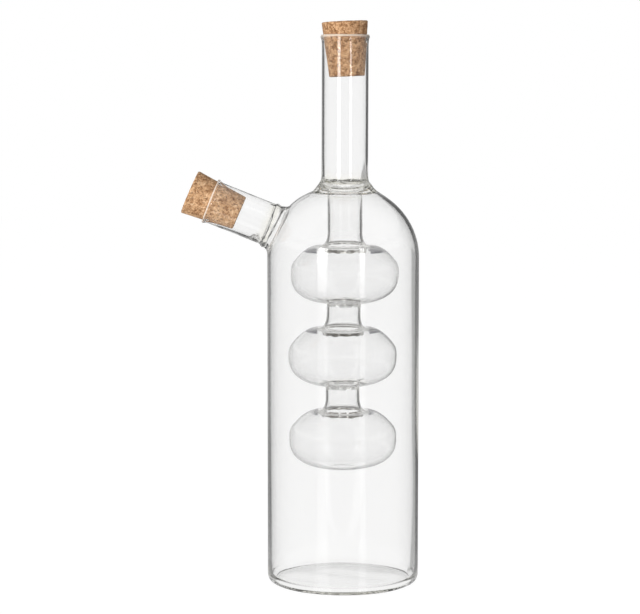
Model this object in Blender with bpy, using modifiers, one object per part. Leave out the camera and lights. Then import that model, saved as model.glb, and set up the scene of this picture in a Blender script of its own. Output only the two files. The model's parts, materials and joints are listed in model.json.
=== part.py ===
"""Oil and vinegar bottle: two glass vessels in one, each closed by its own cork.

The inner vessel is a chain of three blown bulbs on a drop tube. A ring seal joins it to the foot of the
neck, so the neck pours from the bulbs. The outer vessel is the straight body round them, and the side
spout, set on the dome with a saddle-shaped weld, pours from it. Each lampworked piece is its own solid,
and neighbours face each other across a thin seam gap.

Lengths are in metres. The origin is the centre of the flat underside, +Z runs up the bottle, and the
spout leans out towards -X. A turned profile is a list of (radius, height) points.
"""

import math

import bmesh
import bpy

# Clearances
SEAM_GAP = 0.0003
CORK_CLEARANCE = 0.0002

# Outer vessel
BODY_RADIUS = 0.0350
BODY_WALL = 0.0015
SHOULDER_HEIGHT = 0.1513
DOME_RISE = 0.0335
HEEL_RADIUS = 0.0025
FLOOR_THICKNESS = 0.0018
INNER_HEEL_RADIUS = 0.0030
CROWN_OPENING_RADIUS = 0.0122

# Neck tube
NECK_RADIUS = 0.0107
NECK_WALL = 0.0010
NECK_LENGTH = 0.0650
NECK_LIP_FLARE = 0.0007
NECK_MOUTH_FLARE = 0.0005

# Ring seal between the neck, the dome and the drop tube
RING_SEAL_RADIUS = 0.0142
RING_SEAL_HEIGHT = 0.0055
RING_SEAL_DEPTH = 0.0016
WELD_TOE = 0.0003

# Drop tube of the inner vessel
STEM_RADIUS = 0.00805
STEM_WALL = 0.0011
STEM_LENGTH = 0.0257
STEM_TOP_SPREAD = 0.0005
STEM_TOP_SPREAD_LENGTH = 0.0030
FLARE_LENGTH = 0.0055

# Bulbs of the inner vessel
BULB_RADIUS = 0.0250
BULB_WALL = 0.0009
BULB_PITCH = 0.0382
BULB_UPPER_RISE = 0.0113
BULB_LOWER_DROP = 0.0144
THROAT_RADIUS = 0.00785
THROAT_FILLET = 0.0012
SEAM_RADIUS = 0.00905
SEAM_RISE = 0.0103
VALLEY_START = 0.0006
VALLEY_WIDTH = 0.0011
VALLEY_DEPTH = 0.0005
DIMPLE_RADIUS = 0.0060
DIMPLE_DEPTH = 0.0010

# Side spout
SPOUT_TILT = math.radians(21.8)
SPOUT_ROOT_RISE = 0.0014
SPOUT_RADIUS = 0.0099
SPOUT_WALL = 0.00095
SPOUT_LENGTH = 0.0265
SPOUT_LIP_FLARE = 0.00085
SPOUT_MOUTH_FLARE = 0.00086

# Saddle weld between the spout and the dome
SADDLE_RADIUS = 0.0136
SADDLE_HEIGHT = 0.0050
SADDLE_FLARE_LENGTH = 0.0090
SADDLE_ROOT = 0.0030

# Corks
CORK_LENGTH = 0.0250
CORK_CHAMFER = 0.0004
CORK_TAPER_SHARE = 0.096
NECK_CORK_STANDOUT = 0.0060
NECK_CORK_LEAN = math.radians(2.5)
NECK_CORK_PIVOT_DEPTH = 0.0
SPOUT_CORK_STANDOUT = 0.0102
SPOUT_CORK_LEAN = math.radians(2.9)
SPOUT_CORK_PIVOT_DEPTH = 0.0037

# Shapes of curves: the powers of the bulb's two superellipse halves and of the flared tube ends
BULB_UPPER_POWER = 2.65
BULB_LOWER_POWER = 2.2
FLARE_POWER = 2
LIP_POWER = 8
RIDGE_ANGLE = math.radians(62)
LOWER_END_ANGLE = math.radians(66)

# Facets
BODY_SEGMENTS = 48
SEGMENTS = 32
MERGE_DISTANCE = 0.00001
SHARP_ANGLE = math.radians(35)

# Finishes
GLASS = {
    "Base Color": (0.94, 0.96, 0.95, 1.0),
    "Roughness": 0.02,
    "Metallic": 0.0,
    "IOR": 1.47,
    "Transmission Weight": 1.0,
}
CORK = {"Base Color": (0.57, 0.35, 0.18, 1.0), "Roughness": 0.85, "Metallic": 0.0}

BORE_RADIUS = NECK_RADIUS - NECK_WALL
SPOUT_BORE_RADIUS = SPOUT_RADIUS - SPOUT_WALL
SPOUT_ROOT_HEIGHT = SHOULDER_HEIGHT + SPOUT_ROOT_RISE
CROWN_ANGLE = math.acos(CROWN_OPENING_RADIUS / BODY_RADIUS)


def clear_scene():
    """Removes every object that is there at the start."""
    for obj in list(bpy.data.objects):
        bpy.data.objects.remove(obj)


def new_collection(name):
    """A collection of that name in the scene."""
    collection = bpy.data.collections.new(name)
    bpy.context.scene.collection.children.link(collection)
    return collection


def new_material(name, finish):
    """A material of that name with the finish's Principled values."""
    material = bpy.data.materials.new(name)
    material.use_nodes = True
    shader = material.node_tree.nodes["Principled BSDF"]
    for socket, value in finish.items():
        shader.inputs[socket].default_value = value
    material.diffuse_color = finish["Base Color"]
    return material


def arc(centre, radii, start, end, steps):
    """Points along an upright ellipse from the start angle to the end angle, both included."""
    angles = [start + (end - start) * i / steps for i in range(steps + 1)]
    return [
        (centre[0] + radii[0] * math.cos(a), centre[1] + radii[1] * math.sin(a))
        for a in angles
    ]


def superellipse(centre_height, radii, power, start, end, steps):
    """Points round the axis's own superellipse from the start angle to the end angle, both included."""
    points = []
    for across, up in arc((0, 0), (1, 1), start, end, steps):
        reach = (abs(across) ** power + abs(up) ** power) ** (-1 / power)
        points.append((radii[0] * across * reach, centre_height + radii[1] * up * reach))
    return points


def flare(start, end, power, steps):
    """Points from just past the start to the end, whose radius leaves the start's slowly and then faster."""
    points = []
    for i in range(1, steps + 1):
        along = i / steps
        radius = start[0] + (end[0] - start[0]) * along**power
        points.append((radius, start[1] + (end[1] - start[1]) * along))
    return points


def inset(line, wall):
    """The line moved into the glass by the wall: square to a line that runs down the outside."""
    moved = []
    for i, (radius, height) in enumerate(line):
        before = line[max(i - 1, 0)]
        after = line[min(i + 1, len(line) - 1)]
        outwards = after[0] - before[0]
        upwards = after[1] - before[1]
        step = math.hypot(outwards, upwards)
        moved.append((radius + wall * upwards / step, height - wall * outwards / step))
    return moved


def turned(name, profile, segments, collection, closed=True):
    """A solid turned about Z. A closed profile makes a ring, an open one starts and ends on the axis."""
    mesh = bpy.data.meshes.new(name)
    vertices = [(radius, 0, height) for radius, height in profile]
    edges = [(i, i + 1) for i in range(len(profile) - 1)]
    if closed:
        edges.append((len(profile) - 1, 0))
    mesh.from_pydata(vertices, edges, [])
    obj = bpy.data.objects.new(name, mesh)
    collection.objects.link(obj)
    screw = obj.modifiers.new("Turn", "SCREW")
    screw.steps = segments
    screw.render_steps = segments
    screw.use_merge_vertices = True
    screw.merge_threshold = MERGE_DISTANCE
    return obj


def subtract(obj, cutter):
    """Cuts the cutter's shape out of the object."""
    cut = obj.modifiers.new(cutter.name, "BOOLEAN")
    cut.operation = "DIFFERENCE"
    cut.object = cutter


def as_cutter(obj):
    """Marks an object as a helper that only cuts."""
    obj.hide_render = True
    obj.display_type = "WIRE"
    return obj


def spout_distance():
    """Distance along the spout's axis from its root on the body's axis to the dome's outer face."""
    across = math.cos(SPOUT_TILT) / BODY_RADIUS
    up = math.sin(SPOUT_TILT) / DOME_RISE
    offset = SPOUT_ROOT_RISE / DOME_RISE
    square = across**2 + up**2
    return (-offset * up + math.sqrt((offset * up) ** 2 - square * (offset**2 - 1))) / square


def dome_height(radius):
    """Height of the dome's outer face at this radius."""
    return SHOULDER_HEIGHT + DOME_RISE * math.sqrt(1 - (radius / BODY_RADIUS) ** 2)


def dome_line(clear):
    """The dome's outline from its crown opening down to the shoulder, this far outside its outer face."""
    radii = (BODY_RADIUS + clear, DOME_RISE + clear)
    return arc((0, SHOULDER_HEIGHT), radii, CROWN_ANGLE, 0, 9)


def outer_body(parts, cutters, spout_axis):
    """Straight body with a flat floor, rounded heel, dome with its crown opening, and spout hole."""
    outside = dome_line(0.0)
    outside += arc(
        (BODY_RADIUS - HEEL_RADIUS, HEEL_RADIUS), (HEEL_RADIUS, HEEL_RADIUS), 0, -math.pi / 2, 4
    )
    outside.append((0, 0))
    inner_radius = BODY_RADIUS - BODY_WALL
    heel_centre = (inner_radius - INNER_HEEL_RADIUS, FLOOR_THICKNESS + INNER_HEEL_RADIUS)
    inside = [(0, FLOOR_THICKNESS)]
    inside += arc(heel_centre, (INNER_HEEL_RADIUS, INNER_HEEL_RADIUS), -math.pi / 2, 0, 3)
    inner_rise = DOME_RISE - BODY_WALL
    inner_crown_angle = math.acos(CROWN_OPENING_RADIUS / inner_radius)
    inside += arc((0, SHOULDER_HEIGHT), (inner_radius, inner_rise), 0, inner_crown_angle, 9)
    body = turned("outer_body", inside + outside, BODY_SEGMENTS, parts, closed=False)

    hole = bpy.data.meshes.new("spout_hole")
    shape = bmesh.new()
    bmesh.ops.create_cone(
        shape,
        cap_ends=True,
        segments=SEGMENTS,
        radius1=SPOUT_BORE_RADIUS,
        radius2=SPOUT_BORE_RADIUS,
        depth=2 * SADDLE_RADIUS,
    )
    shape.to_mesh(hole)
    shape.free()
    cutter = as_cutter(bpy.data.objects.new("spout_hole", hole))
    cutters.objects.link(cutter)
    cutter.parent = spout_axis
    cutter.location = (0, 0, spout_distance())
    subtract(body, cutter)
    return body


def mouth_tube(name, collection, size, fit):
    """A straight tube with a rolled lip and a mouth that widens for a leaning cork. Its rim is at 0."""
    radius, wall, length, lip_flare, mouth_flare = size
    lean, pivot_depth = fit
    shift = math.tan(lean)
    taper_depth = (mouth_flare - 2 * pivot_depth * shift) / (CORK_TAPER_SHARE - shift)
    bore = radius - wall
    roll = (wall + lip_flare - mouth_flare) / 2
    profile = arc((bore + mouth_flare + roll, -roll), (roll, roll), math.pi, 0, 4)
    lip = flare((radius, -taper_depth), (radius + lip_flare, -roll), LIP_POWER, 6)
    profile += reversed(lip[:-1])
    profile += [(radius, -taper_depth), (radius, -length), (bore, -length), (bore, -taper_depth)]
    return turned(name, profile, SEGMENTS, collection)


def ring_seal(collection, top, bottom):
    """The neck's weld: it sits on the crown and hangs inside its opening, round a funnel to the drop tube."""
    toe = dome_height(RING_SEAL_RADIUS) + SEAM_GAP
    plug_radius = CROWN_OPENING_RADIUS - SEAM_GAP
    foot_radius = (RING_SEAL_RADIUS + plug_radius) / 2
    stem_radius = STEM_RADIUS + STEM_TOP_SPREAD
    funnel_depth = top - bottom
    profile = [(NECK_RADIUS, top)]
    profile += flare((NECK_RADIUS, top), (RING_SEAL_RADIUS, toe + WELD_TOE), FLARE_POWER, 5)
    profile.append((RING_SEAL_RADIUS, toe))
    profile.append((foot_radius, dome_height(foot_radius) + SEAM_GAP))
    profile.append((plug_radius, dome_height(plug_radius) + SEAM_GAP))
    profile.append((plug_radius, bottom + WELD_TOE))
    profile.append((stem_radius, bottom))
    funnel_centre = (BORE_RADIUS, bottom)
    funnel_radii = (BORE_RADIUS - stem_radius + STEM_WALL, funnel_depth)
    profile += arc(funnel_centre, funnel_radii, math.pi, math.pi / 2, 4)
    return turned("neck_weld_collar", profile, SEGMENTS, collection)


def drop_tube(collection, top, bottom):
    """The drop tube: spread a little at the ring seal and flared out to the first bulb's seam."""
    straight_top = top - STEM_TOP_SPREAD_LENGTH
    straight_bottom = bottom + FLARE_LENGTH
    outside = [(STEM_RADIUS + STEM_TOP_SPREAD, top), (STEM_RADIUS, straight_top)]
    outside.append((STEM_RADIUS, straight_bottom))
    outside += flare((STEM_RADIUS, straight_bottom), (SEAM_RADIUS, bottom), FLARE_POWER, 3)
    inside = [(radius - STEM_WALL, height) for radius, height in reversed(outside)]
    return turned("inner_stem", outside + inside, SEGMENTS, collection)


def bulb_line(equator):
    """A bulb's outside from its upper seam over the valley and the ridge to near its bottom."""
    seam = equator + SEAM_RISE
    valley = seam - VALLEY_DEPTH
    valley_radius = SEAM_RADIUS + VALLEY_START
    line = [(SEAM_RADIUS, seam), (valley_radius, valley), (valley_radius + VALLEY_WIDTH, valley)]
    upper = (BULB_RADIUS, BULB_UPPER_RISE)
    lower = (BULB_RADIUS, BULB_LOWER_DROP)
    line += superellipse(equator, upper, BULB_UPPER_POWER, RIDGE_ANGLE, 0, 5)
    line += superellipse(equator, lower, BULB_LOWER_POWER, 0, -LOWER_END_ANGLE, 5)[1:]
    return line


def open_bulb(name, collection, equator):
    """A bulb with the throat below it, flared out to the next bulb's seam."""
    outside = bulb_line(equator)
    fillet_height = equator - BULB_LOWER_DROP - THROAT_FILLET / 2
    fillet_centre = (THROAT_RADIUS + THROAT_FILLET, fillet_height)
    outside += arc(fillet_centre, (THROAT_FILLET, THROAT_FILLET), math.pi / 2, math.pi, 2)
    bottom = equator + SEAM_RISE - BULB_PITCH + SEAM_GAP
    straight_bottom = bottom + FLARE_LENGTH
    outside.append((THROAT_RADIUS, straight_bottom))
    outside += flare((THROAT_RADIUS, straight_bottom), (SEAM_RADIUS, bottom), FLARE_POWER, 3)
    inside = inset(outside, BULB_WALL)
    inside[0] = (SEAM_RADIUS - STEM_WALL, outside[0][1])
    inside[-1] = (SEAM_RADIUS - STEM_WALL, bottom)
    return turned(name, outside + inside[::-1], SEGMENTS, collection)


def closed_bulb(name, collection, equator):
    """The last bulb, closed below with a small dimple where the tube was pinched off."""
    outside = bulb_line(equator)
    rest_height = equator - BULB_LOWER_DROP
    for i in range(4):
        radius = DIMPLE_RADIUS * (1 - i / 3)
        lift = DIMPLE_DEPTH * (1 + math.cos(math.pi * radius / DIMPLE_RADIUS)) / 2
        outside.append((radius, rest_height + lift))
    inside = inset(outside, BULB_WALL)
    inside[0] = (SEAM_RADIUS - STEM_WALL, outside[0][1])
    inside[-1] = (0, outside[-1][1] + BULB_WALL)
    return turned(name, inside[::-1] + outside, SEGMENTS, collection, closed=False)


def saddle(parts, cutters, spout_axis, top):
    """The spout's weld: a flared ring about the spout's axis, with its foot cut to the dome's own curve."""
    toe = top - SADDLE_FLARE_LENGTH
    outside = [(SPOUT_RADIUS, top)]
    outside += flare((SPOUT_RADIUS, top), (SADDLE_RADIUS, toe), FLARE_POWER, 6)
    outside.append((SADDLE_RADIUS, toe - SADDLE_ROOT))
    inside = [(SPOUT_BORE_RADIUS, toe - SADDLE_ROOT), (SPOUT_BORE_RADIUS, top)]
    weld = turned("spout_weld_collar", outside + inside, SEGMENTS, parts)
    weld.parent = spout_axis

    outline = dome_line(SEAM_GAP)
    foot = SPOUT_ROOT_HEIGHT - 2 * SADDLE_RADIUS
    profile = [(0, outline[0][1])] + outline + [(BODY_RADIUS + SEAM_GAP, foot), (0, foot)]
    seat = as_cutter(turned("dome_seat", profile, BODY_SEGMENTS, cutters, closed=False))
    subtract(weld, seat)
    return weld


def cork(name, collection, mouth_radius, standout, fit):
    """A tapered cork with chamfered ends. Its origin is the point on its tube's axis that it leans about."""
    lean, pivot_depth = fit
    rim_radius = mouth_radius - CORK_CLEARANCE - pivot_depth * math.tan(lean)
    top = standout + pivot_depth
    bottom = top - CORK_LENGTH
    top_radius = rim_radius + CORK_TAPER_SHARE * standout
    bottom_radius = top_radius - CORK_TAPER_SHARE * CORK_LENGTH
    profile = [
        (0, top),
        (top_radius - CORK_CHAMFER, top),
        (top_radius, top - CORK_CHAMFER),
        (bottom_radius, bottom + CORK_CHAMFER),
        (bottom_radius - CORK_CHAMFER, bottom),
        (0, bottom),
    ]
    return turned(name, profile, SEGMENTS, collection, closed=False)


def bake_and_smooth(parts):
    """Keeps each part's modified shape as its mesh, shaded smooth with crisp edges."""
    graph = bpy.context.evaluated_depsgraph_get()
    meshes = [bpy.data.meshes.new_from_object(part.evaluated_get(graph)) for part in parts]
    for part, mesh in zip(parts, meshes):
        part.modifiers.clear()
        part.data = mesh
        mesh.name = part.name
        mesh.shade_smooth()
        mesh.set_sharp_from_angle(angle=SHARP_ANGLE)


def main():
    clear_scene()
    parts = new_collection("oil_and_vinegar_bottle")
    cutters = new_collection("cutters")

    spout_axis = bpy.data.objects.new("spout_axis", None)
    parts.objects.link(spout_axis)
    spout_axis.location = (0, 0, SPOUT_ROOT_HEIGHT)
    spout_axis.rotation_euler = (0, SPOUT_TILT - math.pi / 2, 0)

    seal_top = dome_height(RING_SEAL_RADIUS) + SEAM_GAP + RING_SEAL_HEIGHT
    seal_bottom = seal_top - RING_SEAL_HEIGHT - RING_SEAL_DEPTH
    rim_height = seal_top + SEAM_GAP + NECK_LENGTH
    stem_top = seal_bottom - SEAM_GAP
    stem_bottom = stem_top - STEM_LENGTH
    first_equator = stem_bottom - SEAM_GAP - SEAM_RISE
    saddle_top = spout_distance() + SADDLE_HEIGHT
    spout_rim = saddle_top + SEAM_GAP + SPOUT_LENGTH

    outer_body(parts, cutters, spout_axis)
    ring_seal(parts, seal_top, seal_bottom)
    drop_tube(parts, stem_top, stem_bottom)
    open_bulb("upper_bulb", parts, first_equator)
    open_bulb("middle_bulb", parts, first_equator - BULB_PITCH)
    closed_bulb("lower_bulb", parts, first_equator - 2 * BULB_PITCH)
    saddle(parts, cutters, spout_axis, saddle_top)

    neck_size = (NECK_RADIUS, NECK_WALL, NECK_LENGTH, NECK_LIP_FLARE, NECK_MOUTH_FLARE)
    neck_fit = (NECK_CORK_LEAN, NECK_CORK_PIVOT_DEPTH)
    neck = mouth_tube("neck_tube", parts, neck_size, neck_fit)
    neck.location = (0, 0, rim_height)
    mouth = BORE_RADIUS + NECK_MOUTH_FLARE
    neck_cork = cork("neck_cork", parts, mouth, NECK_CORK_STANDOUT, neck_fit)
    neck_cork.location = (0, 0, rim_height - NECK_CORK_PIVOT_DEPTH)
    neck_cork.rotation_euler = (0, -NECK_CORK_LEAN, 0)

    spout_size = (SPOUT_RADIUS, SPOUT_WALL, SPOUT_LENGTH, SPOUT_LIP_FLARE, SPOUT_MOUTH_FLARE)
    spout_fit = (SPOUT_CORK_LEAN, SPOUT_CORK_PIVOT_DEPTH)
    spout = mouth_tube("spout_tube", parts, spout_size, spout_fit)
    spout.parent = spout_axis
    spout.location = (0, 0, spout_rim)
    mouth = SPOUT_BORE_RADIUS + SPOUT_MOUTH_FLARE
    spout_cork = cork("spout_cork", parts, mouth, SPOUT_CORK_STANDOUT, spout_fit)
    spout_cork.parent = spout_axis
    spout_cork.location = (0, 0, spout_rim - SPOUT_CORK_PIVOT_DEPTH)
    spout_cork.rotation_euler = (0, SPOUT_CORK_LEAN, 0)

    solids = [obj for obj in parts.objects if obj.type == "MESH"]
    bake_and_smooth(solids)
    for solid in solids:
        finish = CORK if solid.name.endswith("cork") else GLASS
        solid.data.materials.append(new_material(solid.name, finish))


main()
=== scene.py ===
# %% [markdown]
# # A glass bottle for oil and vinegar
#
# The real object is a straight glass bottle with a second vessel hanging inside it: a drop tube with
# three blown bulbs. The neck pours from the bulbs, and the side spout pours from the bottle round them.
# Each mouth is shut by a cork of pressed granules.
#
# This lesson builds the visible surfaces over the CAD part, whose sizes it follows. Clear glass shows
# only what its faces bend and mirror, so the glass is made as one closed skin with a real wall.

import json
import math

import bmesh
import bpy
import numpy as np
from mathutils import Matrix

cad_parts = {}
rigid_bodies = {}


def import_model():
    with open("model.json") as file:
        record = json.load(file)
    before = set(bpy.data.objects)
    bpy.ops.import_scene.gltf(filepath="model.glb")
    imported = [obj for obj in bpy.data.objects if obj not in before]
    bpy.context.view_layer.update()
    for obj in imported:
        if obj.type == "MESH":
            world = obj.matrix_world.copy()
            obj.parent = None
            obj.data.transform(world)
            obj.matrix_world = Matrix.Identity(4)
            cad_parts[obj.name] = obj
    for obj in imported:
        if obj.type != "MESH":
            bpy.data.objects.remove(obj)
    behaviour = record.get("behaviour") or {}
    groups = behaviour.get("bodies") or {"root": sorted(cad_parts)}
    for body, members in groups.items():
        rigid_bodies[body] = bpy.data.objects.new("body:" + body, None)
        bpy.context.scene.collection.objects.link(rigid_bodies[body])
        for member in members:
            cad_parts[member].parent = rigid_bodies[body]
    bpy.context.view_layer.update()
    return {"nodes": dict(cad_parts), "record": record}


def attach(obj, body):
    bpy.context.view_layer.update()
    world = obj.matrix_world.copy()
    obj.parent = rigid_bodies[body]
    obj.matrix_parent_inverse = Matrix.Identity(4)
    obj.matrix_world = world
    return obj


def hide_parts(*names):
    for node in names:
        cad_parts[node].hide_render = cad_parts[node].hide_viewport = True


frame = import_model()
MM = 0.001
print("nodes:", ", ".join(sorted(frame["nodes"])))

# %% [markdown]
# ## The camera
#
# The photograph was taken from about a metre away with a long lens, a little above the shoulder and
# looking slightly down, which is why the foot of the bottle shows as a shallow curve.

# %% Camera
CAMERA_PLACE = (-0.01065, -0.995, 0.224)
CAMERA_DOWN = math.radians(5.5)
SENSOR_WIDTH = 36.0
FOCAL_PIXELS, IMAGE_WIDTH = 2165, 640

camera = bpy.data.objects.new("camera", bpy.data.cameras.new("camera"))
bpy.context.scene.collection.objects.link(camera)
camera.location = CAMERA_PLACE
camera.rotation_euler = (math.pi / 2 - CAMERA_DOWN, 0, 0)
camera.data.sensor_width = SENSOR_WIDTH
camera.data.lens = FOCAL_PIXELS / IMAGE_WIDTH * SENSOR_WIDTH
camera.data.dof.use_dof = False
bpy.context.scene.camera = camera
print("lens:", round(camera.data.lens, 1), "mm")

# %% [markdown]
# ## Lines for turned glass
#
# A tube or bulb is a line of (radius, height) points turned about an axis. The lines are put together
# from arcs, superellipses and flares. Melted glass has no sharp corners, so the whole line is resampled
# finely and blurred along its length. It is then sampled again with more points where it bends.

# %% Curves that make up a line


def arc(centre, radii, start, end, count=24):
    """Points at centre + radii * (cos, sin) of angles from start to end."""
    angle = np.radians(np.linspace(start, end, count))
    return np.column_stack([centre[0] + radii[0] * np.cos(angle), centre[1] + radii[1] * np.sin(angle)])


def superellipse(height, radii, power, start, end, count=48):
    """Points of |across / radius| ^ power + |up / rise| ^ power = 1, from one angle to another."""
    angle = np.radians(np.linspace(start, end, count))
    across, up = np.cos(angle), np.sin(angle)
    reach = (np.abs(across) ** power + np.abs(up) ** power) ** (-1 / power)
    return np.column_stack([radii[0] * across * reach, height + radii[1] * up * reach])


def flare(start, end, power, count=16):
    """Points whose height moves evenly and whose radius moves by the power of the way along."""
    along = np.linspace(0, 1, count)
    radius = start[0] + (end[0] - start[0]) * along**power
    return np.column_stack([radius, start[1] + (end[1] - start[1]) * along])


def shoulder(start, end, power, count=24):
    """Points whose radius moves evenly and whose height moves by the power of the way along."""
    along = np.linspace(0, 1, count)
    height = start[1] + (end[1] - start[1]) * along**power
    return np.column_stack([start[0] + (end[0] - start[0]) * along, height])


# %% Measuring, melting and sampling a line
FINE_STEP, SAME_PLACE, BELL_REACH = 0.05, 1e-6, 4
OUTSIDE_BLUR, INSIDE_BLUR, RIM_BLUR = 0.3, 0.22, 0.12


def distances(line):
    """Distance along the line from its first point to each point."""
    steps = np.hypot(*np.diff(line[:, :2], axis=0).T)
    return np.concatenate([[0], np.cumsum(steps)])


def at(line, places):
    """The line's points at these distances along it, by straight interpolation."""
    far = distances(line)
    return np.stack([np.interp(places, far, line[:, k]) for k in range(line.shape[1])], axis=-1)


def melted(parts, blur):
    """The parts joined into one line, sampled every FINE_STEP and blurred by a bell curve of this width."""
    line = np.vstack(parts)
    line = line[np.concatenate([[True], np.hypot(*np.diff(line, axis=0).T) > SAME_PLACE])]
    total = distances(line)[-1]
    line = at(line, np.linspace(0, total, int(total / FINE_STEP) + 1))
    reach = int(BELL_REACH * blur / FINE_STEP)
    weight = np.exp(-0.5 * (np.arange(-reach, reach + 1) * FINE_STEP / blur) ** 2)
    weight /= weight.sum()
    head = 2 * line[0] - line[reach:0:-1]
    tail = 2 * line[-1] - line[-2 : -reach - 2 : -1]
    padded = np.vstack([head, line, tail])
    return np.column_stack([np.convolve(padded[:, k], weight, "valid") for k in range(2)])


def rows_of(line, longest, bend):
    """Distances along the line, close together where it bends: one row per bend degrees or longest mm."""
    way = np.gradient(line, axis=0)
    turn = np.abs(np.diff(np.unwrap(np.arctan2(way[:, 1], way[:, 0]))))
    cost = np.diff(distances(line)) / longest + np.degrees(turn) / bend
    cost = np.concatenate([[0], np.cumsum(cost)])
    return np.interp(np.linspace(0, cost[-1], int(cost[-1]) + 1), cost, distances(line))


# %% [markdown]
# ## The sizes of the glass
#
# The sizes are in millimetres and follow the CAD part. The heel is rounder and the bulbs are squarer
# below than in its solids. The neck, the drop tube and the first bulb stand a little to the right of the
# body's own axis, as they do on the real bottle, where each piece was sealed by eye in the flame.

# %% Sizes of the body, the neck and the spout
BODY_RADIUS, BODY_WALL, BODY_FLOOR = 35.0, 1.5, 1.8
SHOULDER, DOME_RISE = 151.3, 33.5
HEEL, INNER_HEEL = 3.5, 4.0
NECK_RADIUS, NECK_BORE, NECK_TOP = 10.7, 9.55, 253.019
NECK_LIP, NECK_MOUTH, NECK_FLARE, NECK_ROLL = 0.7, 0.5, 9.55, (0.6, 0.95)
SEAL_RADIUS, SEAL_TOP, SEAL_EDGE, SEAL_FOOT, SEAL_STEP = 14.2, 188.5, 182.3, 182.8, 0.3
SEAL_BORE_TOP, INNER_SEAL_RADIUS = 186.0, 12.4
SPOUT_ROOT, SPOUT_TILT = np.array([0.0, 0.0, 152.7]), math.radians(21.8)
SPOUT_RADIUS, SPOUT_BORE, SPOUT_RIM = 9.9, 8.95, 65.99
SPOUT_LIP, SPOUT_MOUTH, SPOUT_FLARE, SPOUT_ROLL = 0.85, 0.86, 7.0, (0.47, 0.9)
SADDLE_RADIUS, SADDLE_TOP, HOLE_RADIUS, HOLE_TOP = 12.4, 39.5, 9.6, 35.2
MOUTH_POWER, MOUTH_ROWS = 8, 32
print("body:", 2 * BODY_RADIUS, "mm wide, neck up to", NECK_TOP, "mm")

# %% Sizes of the inner vessel
SEAL_ROUND, STEM_SIDE, DOME_SIDE = (9.9, 181.5), (1.85, 1.3), (1.9, 1.3)
STEM_RADIUS, STEM_WALL, STEM_TOP, STEM_JOIN = 8.05, 1.1, 180.0, 177
BULB_RADIUS, BULB_RISE, BULB_DROP = 25.0, 11.3, 14.4
EQUATORS = (144.02, 105.82, 67.62)
COLLAR_RADIUS, COLLAR_RISES, LIP_DROPS = 13.3, (12.7, 12.8, 12.4), (3.3, 3.3, 2.3)
THROAT_RADIUS, THROAT_ROUND, FLARE_WIDTH, FLARE_RISE = 7.85, 1.2, 3.2, 6.0
UPPER_POWER, LOWER_POWER, SHOULDER_POWER = 2.65, 2.6, 1.8
BELLY_TOP, BELLY_END, INNER_BELLY_END = 30, -72, -66
DIMPLE_RADIUS, DIMPLE_LIFT = 6.0, 0.5
THIN_WALL, CEILING_WALL = 0.38, 0.45
print("bulbs:", 2 * BULB_RADIUS, "mm wide, at heights", EQUATORS)

# %% How far the glass stands to the right
WOBBLE_HEIGHTS = (0, 60, 68, 106, 144, 165, 184, 253, 260)
WOBBLE = (0, -0.1, -0.1, -0.3, 0.8, 0.85, 0.7, 0.9, 0.9)
WOBBLE_POINTS, WOBBLE_PASSES = 521, 60


def wobble(height):
    """How far the neck and the inner vessel stand to the right of the body's axis at this height."""
    smooth = np.linspace(0, WOBBLE_HEIGHTS[-1], WOBBLE_POINTS)
    rough = np.interp(smooth, WOBBLE_HEIGHTS, WOBBLE)
    for _ in range(WOBBLE_PASSES):
        rough[1:-1] = (rough[:-2] + 2 * rough[1:-1] + rough[2:]) / 4
    return np.interp(height, smooth, rough)


print("wobble at the bulbs:", np.round(wobble(EQUATORS), 2), "mm")

# %% [markdown]
# ## The outside of the inner vessel
#
# The drop tube opens like a trumpet where it was sealed to each bulb in the flame. Below it come the
# bulb's shoulder, a belly that is flatter above than below, and the throat that leads to the next bulb.
# The lowest bulb closes in a small dimple, where it was sealed off.

# %% Outside of the drop tube and bulbs


def bulb_outside(equator, rise, last):
    """A bulb from its collar over shoulder and belly to the throat, or to the dimple below."""
    belly = superellipse(equator, (BULB_RADIUS, BULB_RISE), UPPER_POWER, BELLY_TOP, 0)
    line = [shoulder((COLLAR_RADIUS, equator + rise), belly[0], SHOULDER_POWER), belly[1:]]
    line.append(superellipse(equator, (BULB_RADIUS, BULB_DROP), LOWER_POWER, 0, BELLY_END)[1:])
    foot = equator - BULB_DROP
    if last:
        radius = np.linspace(DIMPLE_RADIUS, 0, 16)
        lift = DIMPLE_LIFT * (1 + np.cos(np.pi * radius / DIMPLE_RADIUS))
        return line + [np.column_stack([radius, foot + lift])]
    centre = (THROAT_RADIUS + THROAT_ROUND, foot - THROAT_ROUND / 2)
    return line + [arc(centre, (THROAT_ROUND, THROAT_ROUND), 90, 180, 12)]


stem = [arc(SEAL_ROUND, STEM_SIDE, 90, 180, 12), [(STEM_RADIUS, STEM_TOP)]]
throats = (STEM_RADIUS, THROAT_RADIUS, THROAT_RADIUS)
for equator, rise, throat in zip(EQUATORS, COLLAR_RISES, throats):
    middle = throat + FLARE_WIDTH, equator + rise + FLARE_RISE
    stem.append(arc(middle, (FLARE_WIDTH, FLARE_RISE), 180, 270))
    stem += bulb_outside(equator, rise, last=equator == EQUATORS[-1])
drop_outside = melted(stem, OUTSIDE_BLUR)
drop_outside[-1, 0] = 0
print("outside of the inner vessel:", round(distances(drop_outside)[-1], 1), "mm of line")

# %% [markdown]
# ## The inside of the inner vessel
#
# A second line makes the inside, because the wall isn't even. Where the bulb was blown out, it is thinner
# than half a millimetre. At the seal a rounded lip of thick glass hangs below the bulb's ceiling, and at
# the throat the thick glass makes a hip. LIP and HIP give them as (radius, height) points.

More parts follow.
